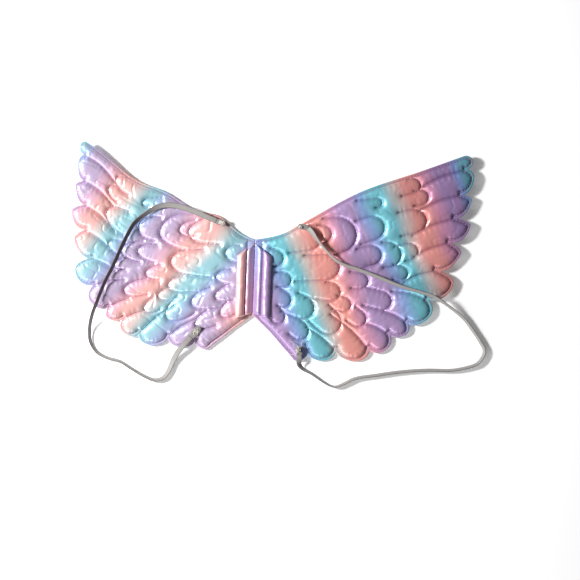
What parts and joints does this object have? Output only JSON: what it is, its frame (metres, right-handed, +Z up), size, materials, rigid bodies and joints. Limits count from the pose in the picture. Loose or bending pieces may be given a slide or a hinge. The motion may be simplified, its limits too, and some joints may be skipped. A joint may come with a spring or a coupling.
{
  "type": "costume wings",
  "caption": "Child's quilted fairy wings in pearly iridescent cloth, with padded spine flaps and elastic arm loops, lying face down.",
  "frame": {"origin": "middle of the centre seam, on the plane that the wings lie on", "axes": "+X across to the right wing's tip as seen from the wearer's side, +Y along the centre seam to the top, +Z up from the surface towards the wearer's side"},
  "size_m": [0.4595, 0.2605, 0.0236],
  "materials": {
    "pearl_cover": "iridescent pearl",
    "wadding": "matte",
    "sewing_thread": "matte",
    "tack_thread": "matte",
    "strap_elastic": "woven, matte"
  },
  "bodies": {
    "right_wing": {"right_outer_cover": "pearl_cover", "right_inner_cover": "pearl_cover", "right_flap_cover": "pearl_cover", "right_wadding": "wadding", "right_flap_foam": "wadding", "right_edge_thread": "sewing_thread", "right_quilt_thread": "sewing_thread", "right_flap_thread": "sewing_thread", "right_upper_tack": "tack_thread", "right_lower_tack": "tack_thread", "right_upper_strap_end": "strap_elastic", "right_lower_strap_end": "strap_elastic", "centre_seam_thread": "sewing_thread"},
    "left_wing": {"left_outer_cover": "pearl_cover", "left_inner_cover": "pearl_cover", "left_flap_cover": "pearl_cover", "left_wadding": "wadding", "left_flap_foam": "wadding", "left_edge_thread": "sewing_thread", "left_quilt_thread": "sewing_thread", "left_flap_thread": "sewing_thread", "left_upper_tack": "tack_thread", "left_lower_tack": "tack_thread", "left_upper_strap_end": "strap_elastic", "left_lower_strap_end": "strap_elastic"},
    "right_strap_body": {"right_strap": "strap_elastic"},
    "left_strap_body": {"left_strap": "strap_elastic"}
  },
  "joints": [
    {"name": "seam_fold", "type": "hinge", "parent": "right_wing", "child": "left_wing", "pos_m": [0, 0, 0.0038], "axis": [0, 1, 0], "range_deg": [0, 80]},
    {"name": "right_strap_swing", "type": "hinge", "parent": "right_wing", "child": "right_strap_body", "pos_m": [0.0553, 0.0576, 0.0094], "axis": [-0.038, -0.9993, 0], "range_deg": [0, 60]},
    {"name": "left_strap_swing", "type": "hinge", "parent": "left_wing", "child": "left_strap_body", "pos_m": [-0.0424, 0.0628, 0.0094], "axis": [0.1608, 0.987, 0], "range_deg": [0, 60]}
  ]
}
